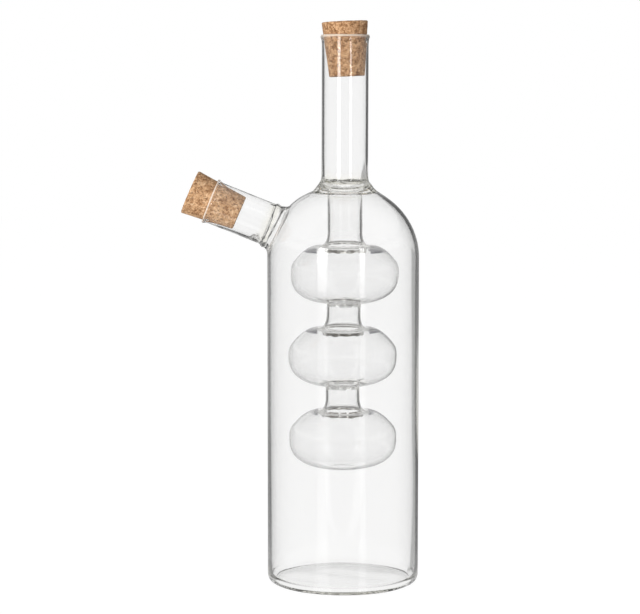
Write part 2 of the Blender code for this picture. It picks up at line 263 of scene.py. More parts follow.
# %% Inside of the drop tube and bulbs
LIP = (
    (8.3, 0.0), (8.35, 0.3), (8.45, 0.65), (8.6, 0.9), (9.0, 1.0),
    (9.4, 0.9), (9.6, 0.65), (9.8, 0.3), (10.4, 0.08), (11.5, 0.01),
)
HIP = (10.1, -13.4), (9.3, -13.35), (8.6, -13.2), (7.8, -13.7), (7.2, -14.6), (6.9, -15.8)
SEAM_ABOVE_LIP, HIP_BELOW_EQUATOR = 0.6, 13.5
BORE_FLARE, BORE_FLARE_POWER, LIP_OVERLAP = 18.5, 2.2, 0.1
DIMPLE_REACH, DIMPLE_POINTS = 7, 400

bulbs = list(zip(EQUATORS, COLLAR_RISES, LIP_DROPS))
seams = [equator + rise - drop + SEAM_ABOVE_LIP for equator, rise, drop in bulbs]
hips = [equator - HIP_BELOW_EQUATOR for equator in EQUATORS[:2]]


def lifted(points, height):
    """The points raised by this height."""
    return np.array(points) + (0, height)


def bulb_inside(equator, rise, drop, last):
    """The inside of a bulb: the sealed lip, the ceiling, the belly and the way into the throat."""
    ceiling = equator + rise - CEILING_WALL
    radii = BULB_RADIUS - THIN_WALL, BULB_RISE - THIN_WALL
    belly = superellipse(equator, radii, UPPER_POWER, BELLY_TOP, 0)
    line = [lifted(np.array(LIP) * (1, CEILING_WALL - drop), ceiling)]
    line += [shoulder((COLLAR_RADIUS, ceiling), belly[0], SHOULDER_POWER), belly[1:]]
    radii = BULB_RADIUS - THIN_WALL, BULB_DROP - THIN_WALL
    line.append(superellipse(equator, radii, LOWER_POWER, 0, INNER_BELLY_END)[1:])
    if last:
        dimple = drop_outside[drop_outside[:, 0] < DIMPLE_REACH][-DIMPLE_POINTS:]
        return line + [lifted(dimple, THIN_WALL)]
    return line + [lifted(HIP, equator)]


drop_inside = [[(STEM_RADIUS - STEM_WALL, STEM_TOP)]]
for equator, rise, drop, throat in zip(EQUATORS, COLLAR_RISES, LIP_DROPS, throats):
    top = throat - STEM_WALL, equator + BORE_FLARE
    drop_inside.append(flare(top, (LIP[0][0], equator + rise - LIP_OVERLAP), BORE_FLARE_POWER))
    drop_inside += bulb_inside(equator, rise, drop, last=equator == EQUATORS[-1])
drop_inside = melted(drop_inside, INSIDE_BLUR)
drop_inside[-1, 0] = 0
print("inside of the inner vessel:", round(distances(drop_inside)[-1], 1), "mm of line")

# %% [markdown]
# ## Two lines from pole to pole
#
# The glass has two turned faces. The skin starts on the axis inside the lowest bulb, runs up the bore,
# over the lip of the mouth, down the neck, the ring seal and the dome, and ends under the foot. The
# chamber starts under the lowest bulb, runs up the outside of the inner vessel, under the ring seal and
# down the inside of the body to the floor. A third column says how much of the wobble a point takes.

# %% The skin: bore, mouth, neck, dome and foot
SHARE_END, SHARE_WIDTH = 20, 6


def body_share(line):
    """1 up to 14 mm from the axis, falling evenly to 0 at 20 mm, where the neck's lean ends."""
    return np.clip((SHARE_END - line[:, 0]) / SHARE_WIDTH, 0, 1)


mouth_foot, rim_foot = NECK_TOP - NECK_FLARE, NECK_TOP - NECK_ROLL[1]
lip = flare((NECK_RADIUS, mouth_foot), (NECK_RADIUS + NECK_LIP, rim_foot), MOUTH_POWER, MOUTH_ROWS)
bore = [drop_inside[drop_inside[:, 1] < STEM_JOIN][::-1]]
bore.append([(STEM_RADIUS - STEM_WALL, SEAL_FOOT), (NECK_BORE, SEAL_BORE_TOP), (NECK_BORE, mouth_foot)])
bore.append(arc((NECK_BORE + NECK_MOUTH + NECK_ROLL[0], rim_foot), NECK_ROLL, 180, 0))
bore.append(lip[::-1])
bore.append(flare((NECK_RADIUS, SEAL_TOP), (SEAL_RADIUS, SEAL_EDGE), 2))
bore = melted(bore, RIM_BLUR)
crown = math.degrees(math.acos((SEAL_RADIUS + SEAL_STEP) / BODY_RADIUS))
outside = [arc((0, SHOULDER), (BODY_RADIUS, DOME_RISE), crown, 0, 64)]
outside.append(arc((BODY_RADIUS - HEEL, HEEL), (HEEL, HEEL), 0, -90))
outside = melted([bore[-1:]] + outside + [[(0, 0)]], OUTSIDE_BLUR)
skin = np.vstack([bore, outside[1:]])
skin = np.column_stack([skin, np.concatenate([np.ones(len(bore)), body_share(outside[1:])])])
print("skin:", len(skin), "fine points")

# %% The chamber: outside of the inner vessel and inside of the body
inner_radius, inner_rise = BODY_RADIUS - BODY_WALL, DOME_RISE - BODY_WALL
inner_crown = math.degrees(math.acos(INNER_SEAL_RADIUS / inner_radius))
inside = [[(0, BODY_FLOOR)]]
inside.append(arc((inner_radius - INNER_HEEL, BODY_FLOOR + INNER_HEEL), (INNER_HEEL, INNER_HEEL), -90, 0))
inside.append(arc((0, SHOULDER), (inner_radius, inner_rise), 0, inner_crown, 64))
inside.append(arc(SEAL_ROUND, DOME_SIDE, 0, 90, 12))
inside = melted(inside + [drop_outside[:1]], OUTSIDE_BLUR)
chamber = np.vstack([inside[:-1], drop_outside])
share = np.concatenate([body_share(inside[:-1]), np.ones(len(drop_outside))])
chamber = np.column_stack([chamber, share])[::-1]
skin[[0, -1], 0] = chamber[[0, -1], 0] = 0
print("chamber:", len(chamber), "fine points")

# %% [markdown]
# ## Turning the lines, with a window for the spout
#
# A turned face is a grid: one row per point of the line and one column per angle. The spout leaves the
# dome at a slant, so a rectangular window of cells is left out round its foot. A patch fills the window:
# its outer ring is the window's edge, its inner ring is where the spout meets the dome, and the rings
# between slide from one to the other over the same curved face. All the rings stay watertight.

# %% Places on a turned face and on the spout
BODY_PART_RADIUS, BODY_PART_HEIGHTS = 14.0, (100, 182)
LONGEST_REACH, HALVINGS, TOP_STEP = 60.0, 36, 0.05


def place(line, far, angle):
    """(radius cos, radius sin, height) at a distance along the line, shifted by its share of the wobble."""
    far, angle = np.broadcast_arrays(far, angle)
    radius, height, part = np.moveaxis(at(line, far), -1, 0)
    return np.stack([radius * np.cos(angle) + part * wobble(height), radius * np.sin(angle), height], -1)


def body_part(line):
    """The stretch of a line that makes the dome and the wall, ordered from the foot upwards."""
    far = distances(line)
    low, high = BODY_PART_HEIGHTS
    part = (line[:, 0] > BODY_PART_RADIUS) & (line[:, 1] > low) & (line[:, 1] < high) & (line[:, 2] < 1)
    order = np.argsort(line[part, 1])
    return line[part][order], far[part][order]


along_spout = np.array([-math.cos(SPOUT_TILT), 0, math.sin(SPOUT_TILT)])
up_spout = np.array([math.sin(SPOUT_TILT), 0, math.cos(SPOUT_TILT)])
across_spout = np.array([0.0, 1.0, 0.0])


def spout_point(ring, angle, far):
    """root + along * far + ring * (up cos + across sin), for a circle of radius ring about the spout."""
    ring, angle, far = (np.asarray(value)[..., None] for value in (ring, angle, far))
    return SPOUT_ROOT + along_spout * far + ring * (up_spout * np.cos(angle) + across_spout * np.sin(angle))


def meets(line, ring, angle):
    """How far along the spout's axis a circle of this radius meets the turned body, found by halving."""
    part, _ = body_part(line)
    heights = np.append(part[:, 1], part[-1, 1] + TOP_STEP)
    radii = np.append(part[:, 0], 0)
    ring, angle = np.broadcast_arrays(ring, angle)
    low, high = np.zeros(ring.shape), np.full(ring.shape, LONGEST_REACH)
    for _ in range(HALVINGS):
        middle = (low + high) / 2
        point = spout_point(ring, angle, middle)
        within = np.hypot(point[..., 0], point[..., 1]) < np.interp(point[..., 2], heights, radii)
        low, high = np.where(within, middle, low), np.where(within, high, middle)
    return (low + high) / 2


dome_at = float(meets(skin, np.zeros(1), np.zeros(1))[0])
print("the spout's axis meets the dome", round(dome_at, 1), "mm from its root")

# %% The window and its patch
COLUMNS, WINDOW_COLUMNS = 112, (42, 70)
WINDOW_ROWS, WINDOW_HEIGHTS = 22, (136.0, 181.0)
PATCH_RINGS = 8
LONGEST_ROW, ROW_BEND = 6.0, 8.0


def window_edge():
    """Rows and columns of the window's edge, once round."""
    first, last = WINDOW_COLUMNS
    across, down = np.arange(first, last), np.arange(WINDOW_ROWS)
    rows = [np.zeros(len(across)), down, np.full(len(across), WINDOW_ROWS), WINDOW_ROWS - down]
    columns = [across, np.full(len(down), last), last - across + first, np.full(len(down), first)]
    return np.concatenate(rows).astype(int), np.concatenate(columns).astype(int)


def turned_with_window(line):
    """(rows, grid, first window row): the line's rows, with WINDOW_ROWS even ones at the window."""
    part, far = body_part(line)
    ends = np.sort(np.interp(WINDOW_HEIGHTS, part[:, 1], far))
    rows = rows_of(line[:, :2], LONGEST_ROW, ROW_BEND)
    step = (ends[1] - ends[0]) / WINDOW_ROWS
    before, after = rows[rows < ends[0] - step / 2], rows[rows > ends[1] + step / 2]
    rows = np.concatenate([before, np.linspace(*ends, WINDOW_ROWS + 1), after])
    angle = np.linspace(0, 2 * np.pi, COLUMNS, endpoint=False)
    return rows, place(line, rows[:, None], angle[None, :]), len(before)


def patch(line, rows, first_row, ring, angle):
    """Rings from the circle's meeting with the face (first) to the window's edge (last)."""
    part, far = body_part(line)
    point = spout_point(ring, angle, meets(line, ring, angle))
    start_far = np.interp(point[:, 2], part[:, 1], far)
    start_angle = np.arctan2(point[:, 1], point[:, 0]) % (2 * np.pi)
    edge_rows, edge_columns = window_edge()
    end_far, end_angle = rows[first_row + edge_rows], edge_columns * 2 * np.pi / COLUMNS
    way = np.linspace(0, 1, PATCH_RINGS + 1)[:, None]
    return place(line, start_far * (1 - way) + end_far * way, start_angle * (1 - way) + end_angle * way)


# %% The two turned faces and their patches
skin_rows, skin_grid, skin_window = turned_with_window(skin)
chamber_rows, chamber_grid, chamber_window = turned_with_window(chamber)
edge_rows, edge_columns = window_edge()
edge = skin_grid[skin_window + edge_rows, edge_columns] - SPOUT_ROOT
spout_angle = np.arctan2(edge @ across_spout, edge @ up_spout)
saddle_ring = SADDLE_RADIUS - np.cos(spout_angle)
hole_ring = np.full(len(spout_angle), HOLE_RADIUS)
skin_patch = patch(skin, skin_rows, skin_window, saddle_ring, spout_angle)
chamber_patch = patch(chamber, chamber_rows, chamber_window, hole_ring, spout_angle)
print("grids:", skin_grid.shape, chamber_grid.shape, "patches:", skin_patch.shape)

# %% [markdown]
# ## The side spout
#
# The spout is a tube about its own slanted axis. Where it leaves the dome, the glass climbs the dome's
# face and turns over into the tube, like the inside of a trumpet's bell. The same happens at its bore,
# which is a little wider above than below.

# %% Spout
BORE_EASE, BORE_UNEVEN = 0.05, 0.3
BORE_STRAIGHT, EVEN_FROM, EVEN_OVER, INNER_FACE_STEP = 18.5, 1.5, 5, 0.4
TUBE_ROW, TUBE_BEND = 0.9, 12.0
OUTER_BELL_ROWS, INNER_BELL_ROWS = 36, 16

bore_ring = SPOUT_BORE + BORE_EASE + BORE_UNEVEN * np.cos(spout_angle)


def bell(line, ring, tube, top, count):
    """Rows from the face into the tube: the ring shrinks as (1 - q) squared, the lift grows as q squared."""
    q = np.linspace(0, 1, count)[:, None]
    rings = tube + (ring - tube) * (1 - q) ** 2
    rings, angle = np.broadcast_arrays(rings, spout_angle[None, :])
    base = meets(line, rings, angle)
    lift = (top - meets(line, np.full(len(spout_angle), tube), spout_angle)) * q**2
    return spout_point(rings, angle, base + lift)


rim_foot = SPOUT_RIM - SPOUT_ROLL[1]
spout_lip = flare(
    (SPOUT_RADIUS, SPOUT_RIM - SPOUT_FLARE), (SPOUT_RADIUS + SPOUT_LIP, rim_foot), MOUTH_POWER, MOUTH_ROWS
)
spout_rim = arc((SPOUT_BORE + SPOUT_MOUTH + SPOUT_ROLL[0], rim_foot), SPOUT_ROLL, 0, 180)
tube_line = [[(SPOUT_RADIUS, SADDLE_TOP)], spout_lip, spout_rim]
tube_line.append([(SPOUT_BORE, SPOUT_RIM - BORE_STRAIGHT), (SPOUT_BORE, HOLE_TOP)])
tube_line = melted(tube_line, RIM_BLUR)
ring, far = at(tube_line, rows_of(tube_line, TUBE_ROW, TUBE_BEND)).T
inner = (ring < SPOUT_RADIUS - INNER_FACE_STEP) * np.clip((SPOUT_RIM - EVEN_FROM - far) / EVEN_OVER, 0, 1)
ring = ring[:, None] + (bore_ring - SPOUT_BORE) * inner[:, None]
tube = spout_point(ring, spout_angle[None, :], far[:, None])
outer_bell = bell(skin, saddle_ring, SPOUT_RADIUS, SADDLE_TOP, OUTER_BELL_ROWS)
inner_bell = bell(chamber, hole_ring, bore_ring, HOLE_TOP, INNER_BELL_ROWS)
outer_bell[0], inner_bell[0] = skin_patch[0], chamber_patch[0]
spout = np.concatenate([outer_bell[:-1], tube, inner_bell[-2::-1]])
print("spout:", spout.shape[0], "rows of", spout.shape[1])

# %% [markdown]
# ## One closed skin of glass
#
# The grids share their edges, so merging doubled points closes the skin. A closed skin lets Cycles know
# where glass begins and ends, which loose tubes and bulbs with faces between them would not.

# %% Grids into one mesh
MERGE_WITHIN, SLIVER = 2e-6, 1e-7


def cells(rows, columns, start, keep=None):
    """Corner numbers of a grid's cells, closed round its columns, for the cells that keep marks."""
    row, column = np.meshgrid(np.arange(rows - 1), np.arange(columns), indexing="ij")
    after = (column + 1) % columns
    corners = np.stack([row * columns + column, row * columns + after], -1)
    corners = np.concatenate([corners, corners[..., ::-1] + columns], -1) + start
    return corners[keep] if keep is not None else corners.reshape(-1, 4)


def window_cells(grid, first_row):
    """A mark for every cell of a turned grid, false inside the window."""
    keep = np.ones((grid.shape[0] - 1, COLUMNS), bool)
    keep[first_row : first_row + WINDOW_ROWS, WINDOW_COLUMNS[0] : WINDOW_COLUMNS[1]] = False
    return keep


def closed_mesh(name, grids):
    """A mesh of grids in mm, its doubles merged and its faces turned outwards. grids holds (points, keep)."""
    points, faces, start = [], [], 0
    for grid, keep in grids:
        points.append(grid.reshape(-1, 3))
        faces.append(cells(grid.shape[0], grid.shape[1], start, keep))
        start += len(points[-1])
    mesh = bpy.data.meshes.new(name)
    mesh.from_pydata(np.vstack(points) * MM, [], np.vstack(faces).tolist())
    shape = bmesh.new()
    shape.from_mesh(mesh)
    bmesh.ops.remove_doubles(shape, verts=shape.verts, dist=MERGE_WITHIN)
    bmesh.ops.dissolve_degenerate(shape, edges=shape.edges, dist=SLIVER)
    bmesh.ops.delete(shape, geom=[v for v in shape.verts if not v.link_faces], context="VERTS")
    bmesh.ops.recalc_face_normals(shape, faces=shape.faces)
    open_edges = sum(not edge.is_manifold for edge in shape.edges)
    volume = shape.calc_volume(signed=True)
    shape.to_mesh(mesh)
    shape.free()
    mesh.shade_smooth()
    print(name, "faces:", len(mesh.polygons), "open edges:", open_edges, "cm3:", round(volume * 1e6, 2))
    return mesh


glass_grids = [
    (skin_grid, window_cells(skin_grid, skin_window)),
    (chamber_grid, window_cells(chamber_grid, chamber_window)),
    (skin_patch, None),
    (chamber_patch, None),
    (spout, None),
]
glass_mesh = closed_mesh("glass_vessels", glass_grids)

# %% [markdown]
# ## Lumps and waves
#
# The flame left lumps of melted glass at the welds, and blown glass is never quite even. So the points
# are pushed along their normals: by short bumps at the welds, by a bead and a drop at the spout's root,
# and by long soft waves everywhere. Each function below says where one of these is.

# %% Waves, and the ways to read and write a mesh's points


def waves(points, lengths, seed):
    """Sum of cosines of slanted directions and these wavelengths in mm, scaled to about -1 to 1."""
    random = np.random.default_rng(seed)
    total = 0
    for length in lengths:
        way = random.normal(size=3)
        way *= 2 * np.pi / length / np.linalg.norm(way)
        total = total + np.cos(points @ way + random.uniform(0, 2 * np.pi))
    return total / math.sqrt(len(lengths))


def points_and_normals(mesh):
    """The mesh's points in mm and their normals, each as rows of x, y and z."""
    points, normals = (np.empty(len(mesh.vertices) * 3, np.float32) for _ in range(2))
    mesh.vertices.foreach_get("co", points)
    mesh.vertex_normals.foreach_get("vector", normals)
    return points.reshape(-1, 3).astype(float) / MM, normals.reshape(-1, 3).astype(float)


def put_points(mesh, points):
    """Writes the points, in mm, back into the mesh."""
    mesh.vertices.foreach_set("co", (points * MM).astype(np.float32).ravel())
    mesh.update()


# %% Where the ring seal, the mouths and the seams are
SEAL_HILL, SEAL_WITHIN, SEAL_SHIFT = (184.0, 3.4), (-17, 2), 0.7
NECK_LIP_FROM, SPOUT_LIP_FROM = (247.5, 2), (SPOUT_RIM - 4.5, 1.5)
SEAM_WIDTH, SEAM_WITHIN, STEM_SHIFT = 1.0, (-12, 1), 0.3


def hill(value, middle, width, power=2):
    """A bell curve: e to the minus power of (value - middle) / width."""
    return np.exp(-(((value - middle) / width) ** power))


def slope(value, start, width):
    """0 up to the start, 1 from a width beyond it, and straight between."""
    return np.clip((value - start) / width, 0, 1)


def near_seal(points):
    """1 at the ring seal and falling away above and below it."""
    off_axis = np.hypot(points[:, 0] - SEAL_SHIFT, points[:, 1])
    return hill(points[:, 2], *SEAL_HILL) * slope(-off_axis, *SEAL_WITHIN)


def near_lips(points):
    """1 on the last millimetres of the neck and of the spout, where the mouths were flared in the flame."""
    far = (points - SPOUT_ROOT) @ along_spout
    return slope(points[:, 2], *NECK_LIP_FROM) + slope(far, *SPOUT_LIP_FROM)


def near_seams(points, heights):
    """1 at the seams between tube and bulb."""
    off_axis = np.hypot(points[:, 0] - STEM_SHIFT, points[:, 1])
    rings = sum(hill(points[:, 2], height, SEAM_WIDTH) for height in heights)
    return rings * slope(-off_axis, *SEAM_WITHIN)


# %% Where the spout's weld, bead and drop are
WELD_HILL, WELD_RING = (36.5, 2.8), ((7.5, 1), (-16, 2))
BEAD_HILL, BEAD_RING = (36.2, 0.8, 4), ((9.5, 0.2), (-13.5, 1))
DROP_HILL, DROP_RING, DROP_BELOW = (40.2, 1.5), ((6, 1), (-9.5, 0.2)), (0.7, 0.3)


def round_spout(points):
    """(how far along the spout's axis, how far off it, the share of that which is upwards)."""
    moved = points - SPOUT_ROOT
    far = moved @ along_spout
    off_axis = np.sqrt(np.maximum((moved**2).sum(1) - far**2, 0.01))
    return far, off_axis, (moved @ up_spout) / off_axis


def in_ring(off_axis, start, end):
    """1 between two distances from an axis, with slopes of these widths. The end's distance is negative."""
    return slope(off_axis, *start) * slope(-off_axis, *end)


def near_spout_weld(points):
    """1 in the ring where the spout is sealed to the dome."""
    far, off_axis, _ = round_spout(points)
    return hill(far, *WELD_HILL) * in_ring(off_axis, *WELD_RING)


def spout_bead(points):
    """1 along a narrow bead of glass that was laid round the outside of the spout's root."""
    far, off_axis, _ = round_spout(points)
    return hill(far, *BEAD_HILL) * in_ring(off_axis, *BEAD_RING)


def spout_drop(points):
    """1 at a drop of glass inside the spout's lower wall, just outside the weld."""
    far, off_axis, upward = round_spout(points)
    return hill(far, *DROP_HILL) * slope(-upward, *DROP_BELOW) * in_ring(off_axis, *DROP_RING)


# %% Pushing the points
SAG, SAG_WITHIN, SAG_SMOOTHS = 1.7, 9, 0.7
SPOUT_WELD, SEAM_WELD, HIP_WELD = 0.6, 1.3, 0.6
WELD_LUMP, WELD_LENGTHS, WELD_SEED = 0.2, (2.3, 2.9, 3.4, 4.1, 5.0, 6.3), 11
BEAD, DROP = 0.4, 1.1
LIP_LUMP, LIP_LENGTHS, LIP_SEED = 0.05, (2.6, 3.3, 4.2, 5.5), 7
LONG_WAVE, LONG_LENGTHS, LONG_SEED, LONG_INWARD = 0.02, (24, 31, 43, 60), 5, 1.5

points, normals = points_and_normals(glass_mesh)
front = np.clip(-points[:, 1] / SAG_WITHIN, 0, 1)
points[:, 2] -= SAG * near_seal(points) * front
weld = near_seal(points) * (1 - SAG_SMOOTHS * front) + SPOUT_WELD * near_spout_weld(points)
weld = weld + SEAM_WELD * near_seams(points, seams) + HIP_WELD * near_seams(points, hips)
push = WELD_LUMP * weld * waves(points, WELD_LENGTHS, WELD_SEED)
push += BEAD * spout_bead(points) + DROP * spout_drop(points)
push += LIP_LUMP * near_lips(points) * waves(points, LIP_LENGTHS, LIP_SEED)
push += LONG_WAVE * (waves(points, LONG_LENGTHS, LONG_SEED) - LONG_INWARD)
points += normals * push[:, None]
points[:, 2] = np.maximum(points[:, 2], 0)
attribute = glass_mesh.attributes.new("weld", "FLOAT", "POINT")
attribute.data.foreach_set("value", np.clip(weld, 0, 1).astype(np.float32))
put_points(glass_mesh, points)
print("pushed by up to", round(float(np.abs(push).max()), 2), "mm; triangles:", 2 * len(glass_mesh.polygons))

glass = bpy.data.objects.new("glass_vessels", glass_mesh)
bpy.context.scene.collection.objects.link(glass)

# %% [markdown]
# ## The corks
#
# Each cork is pressed from granules and cut to a tapered plug. It is one line turned about its own axis:
# across the lower end, round a worn edge, up the side, round the upper edge and in again. Small pits are
# then pressed into it wherever a granule has broken out. Pits only go inwards, so the cork still fits.

# %% A cork
CORK_LENGTH, CORK_TAPER, CORK_EDGE, CORK_BLUR = 25.0, 0.096, 0.5, 0.1
CORK_COLUMNS, CORK_ROW = 144, 0.45
PITS, PIT_WIDTHS, PIT_DEPTHS = 130, (0.25, 0.75), (0.05, 0.32)
GRAIN, GRAIN_LENGTHS = 0.03, (1.1, 1.5, 1.9, 2.6, 3.7)


def pitted(points, normals, seed):
    """The points pushed in by the deepest bell-shaped pit near each, and by a fine grain."""
    random = np.random.default_rng(seed)
    centres = points[random.integers(0, len(points), PITS)]
    widths, depths = random.uniform(*PIT_WIDTHS, PITS), random.uniform(*PIT_DEPTHS, PITS)
    gaps = np.linalg.norm(points[:, None, :] - centres[None], axis=2)
    depth = (depths * hill(gaps, 0, widths)).max(axis=1)
    depth += GRAIN * (1 + waves(points, GRAIN_LENGTHS, seed + 1)).clip(0)
    return points - normals * depth[:, None]


def cork_piece(name, foot, axis, radius, seed):
    """A tapered plug: radius at the upper end, its axis running from the foot's centre along axis."""
    low = radius - CORK_TAPER * CORK_LENGTH
    line = [[(0, 0)], arc((low - CORK_EDGE, CORK_EDGE), (CORK_EDGE, CORK_EDGE), -90, 0, 8)]
    line.append(arc((radius - CORK_EDGE, CORK_LENGTH - CORK_EDGE), (CORK_EDGE, CORK_EDGE), 0, 90, 8))
    line = melted(line + [[(0, CORK_LENGTH)]], CORK_BLUR)
    line[[0, -1], 0] = 0
    ring, far = at(line, np.arange(0, distances(line)[-1] + CORK_ROW, CORK_ROW)).T
    angle = np.linspace(0, 2 * np.pi, CORK_COLUMNS, endpoint=False)[None, :, None]
    axis = np.asarray(axis) / np.linalg.norm(axis)
    side = np.cross((0.0, 1.0, 0.0), axis)
    grid = foot + far[:, None, None] * axis
    grid = grid + ring[:, None, None] * (np.cos(angle) * side + np.sin(angle) * (0, 1.0, 0))
    mesh = closed_mesh(name, [(grid, None)])
    put_points(mesh, pitted(*points_and_normals(mesh), seed))
    piece = bpy.data.objects.new(name, mesh)
    bpy.context.scene.collection.objects.link(piece)
    return piece


# %% Both corks in their mouths
NECK_CORK_LEAN, NECK_CORK_DEPTH, NECK_CORK_RADIUS = math.radians(2.5), 19.0, 10.576
SPOUT_CORK_LEAN, SPOUT_CORK_DEPTH, SPOUT_CORK_RADIUS = math.radians(1.9), 11.15, 10.402
SPOUT_PIVOT = 3.7

neck_axis = np.array([-math.sin(NECK_CORK_LEAN), 0, math.cos(NECK_CORK_LEAN)])
neck_foot = np.array([wobble(NECK_TOP), 0, NECK_TOP]) - neck_axis * NECK_CORK_DEPTH
neck_cork = cork_piece("cork_of_neck", neck_foot, neck_axis, NECK_CORK_RADIUS, 3)

spout_lean = SPOUT_TILT + SPOUT_CORK_LEAN
spout_axis = np.array([-math.cos(spout_lean), 0, math.sin(spout_lean)])
spout_foot = SPOUT_ROOT + along_spout * (SPOUT_RIM - SPOUT_PIVOT) - spout_axis * SPOUT_CORK_DEPTH
spout_cork = cork_piece("cork_of_spout", spout_foot, spout_axis, SPOUT_CORK_RADIUS, 8)

# %% [markdown]
# ## Building materials from expressions
#
# A small class wraps a node's output. Plus, minus and times on it add Math nodes, and node() adds any
# other kind. A pattern then reads like a formula.

# %% Wires


class Wire:
    """An output in a node tree. Sums and products add Math nodes, and node() adds any other kind."""

    def __init__(self, tree, socket=None):
        self.tree, self.socket = tree, socket

    def node(self, kind, settings=None, inputs=None, output=0):
        """Adds a node, sets its settings and a ramp's stops, then fills or links its inputs."""
        made = self.tree.nodes.new("ShaderNode" + kind)
        for name, value in (settings or {}).items():
            if name == "stops":
                while len(made.color_ramp.elements) < len(value):
                    made.color_ramp.elements.new(0.5)
                for stop, (place_on_ramp, colour) in zip(made.color_ramp.elements, value):
                    stop.position, stop.color = place_on_ramp, (*colour, 1.0)
            else:
                setattr(made, name, value)
        for name, value in (inputs or {}).items():
            if isinstance(value, Wire):
                self.tree.links.new(value.socket, made.inputs[name])
            else:
                made.inputs[name].default_value = value
        return Wire(self.tree, made.outputs[output] if made.outputs else None)

    def outputs(self, *names):
        """The outputs of this wire's node that have these names."""
        return [Wire(self.tree, self.socket.node.outputs[name]) for name in names]

    def maths(self, operation, *values):
        return self.node("Math", {"operation": operation}, dict(enumerate(values)))

    def __add__(self, other):
        return self.maths("ADD", self, other)

    def __sub__(self, other):
        return self.maths("SUBTRACT", self, other)

    def __rsub__(self, other):
        return self.maths("SUBTRACT", other, self)

    def __mul__(self, other):
        return self.maths("MULTIPLY", self, other)

    def __abs__(self):
        return self.maths("ABSOLUTE", self)

    def clamped(self, low, high):
        """0 at low, 1 at high, and straight between."""
        return self.node("MapRange", {"clamp": True}, {"Value": self, "From Min": low, "From Max": high})

    def band(self, rise, fall):
        """0, rising to 1 over the first pair of values and falling to 0 again over the second."""
        return self.clamped(*rise) * (1 - self.clamped(*fall))

    def towards(self, other, factor):
        """This value mixed towards another by a factor."""
        return self + (other - self) * factor

    def tinted(self, other, factor):
        """This colour mixed towards another by a factor."""
        return self.node("Mix", {"data_type": "RGBA"}, {0: factor, 6: self, 7: other}, output=2)

    __radd__, __rmul__ = __add__, __mul__


def new_material(name):
    """(material, wire): a material with an empty tree and a wire to build on it."""
    material = bpy.data.materials.new(name)
    material.use_nodes = True
    material.node_tree.nodes.clear()
    return material, Wire(material.node_tree)


# %% [markdown]
# ## Clear glass
#
# Borosilicate glass is almost colourless. It bends light by 1.47 and soaks up a little of it on a long
# way through, which is why thick welds look olive grey. The surface has faint drawn streaks.

# %% Clear glass: tint, streaks and places on it
GLASS_BEND = 1.47
GLASS_SOAK, GLASS_SOAK_PER_METRE = (0.80, 0.79, 0.70, 1.0), 12.0
CLEAR_TINT, WELD_TINT = (0.998, 0.998, 0.998, 1.0), (0.95, 0.94, 0.89, 1.0)
STREAK_STRETCH, STREAK_SCALE, SMEAR_SCALE = (1.0, 1.0, 0.06), 260.0, 45.0
STREAK_STRENGTH, STREAK_DEPTH = 0.05, 0.2 * MM

glass_material, wire = new_material("clear_glass")
place_on_glass = wire.node("TexCoord", output=3)
weld_mask = wire.node("Attribute", {"attribute_name": "weld"}, output=2)
streaks = wire.node("Mapping", inputs={"Vector": place_on_glass, "Scale": STREAK_STRETCH})
streaks = wire.node("TexNoise", inputs={"Vector": streaks, "Scale": STREAK_SCALE, "Detail": 2.0})
smears = wire.node("TexNoise", inputs={"Vector": place_on_glass, "Scale": SMEAR_SCALE, "Detail": 3.0})
bump = wire.node("Bump", inputs={"Strength": STREAK_STRENGTH, "Distance": STREAK_DEPTH, "Height": streaks})
tint = wire.node("Mix", {"data_type": "RGBA"}, {0: weld_mask, 6: CLEAR_TINT, 7: WELD_TINT}, output=2)
aside, level = wire.node("SeparateXYZ", inputs={"Vector": place_on_glass}).outputs("X", "Z")
aside = abs(aside)
off_axis = wire.node("VectorMath", {"operation": "MULTIPLY"}, {0: place_on_glass, 1: (1, 1, 0)})
off_axis = wire.node("VectorMath", {"operation": "LENGTH"}, {0: off_axis}, output=1)
off_root = wire.node("VectorMath", {"operation": "SUBTRACT"}, {0: place_on_glass, 1: SPOUT_ROOT * MM})
far_out = wire.node("VectorMath", {"operation": "DOT_PRODUCT"}, {0: off_root, 1: along_spout}, output=1)
print("glass nodes so far:", len(glass_material.node_tree.nodes))

# %% [markdown]
# ## Painted shade in thick glass
#
# Thick, uneven glass sends some rays round inside itself until they are lost. On the real bottle this makes
# broken dark dashes at the bulbs' seams, dark wedges on their shoulders and dark spots by the spout. A sharp
# model of every lump would take far too many faces, so this shade is painted into the glass's colour as dark
# tints at fixed heights. WEDGES gives each bulb's wedge: its foot above the equator, and where it starts and
# ends to the sides.

# %% Painted shade: dashes at the seams, wedges on the shoulders and spots by the spout
# Painted shade: dark tints for the seams and the spots by the spout, and for the wedges on the shoulders.
SEAM_AND_SPOT_PAINTED_SHADE, WEDGE_PAINTED_SHADE = (0.035, 0.028, 0.02, 1.0), (0.11, 0.11, 0.13, 1.0)
SEAM_RAISE, HIP_LOWER, HIP_SHARE = 0.3, 0.8, 0.5
SEAM_EDGE, SEAM_ENDS = (0.7 * MM, 1.3 * MM), (9.5 * MM, 10.0 * MM)
DASH_SCALE, DASH_EDGE = 380.0, (0.4, 0.5)
WEDGES = (9.8, 11.8, 20.0), (11.2, 11.5, 20.0), (11.7, 11.3, 15.5)
WEDGE_FOOT, WEDGE_RISE, WEDGE_START, WEDGE_TIP = 0.15 * MM, 4.5 * MM, 0.7, 3.0
WEDGE_ENDS = (23.0 * MM, 24.0 * MM)
SPOT_PLACE, SPOT_EDGE, SPOT_TOP = 40.4 * MM, (0.8 * MM, 1.8 * MM), (159.5 * MM, 161.0 * MM)

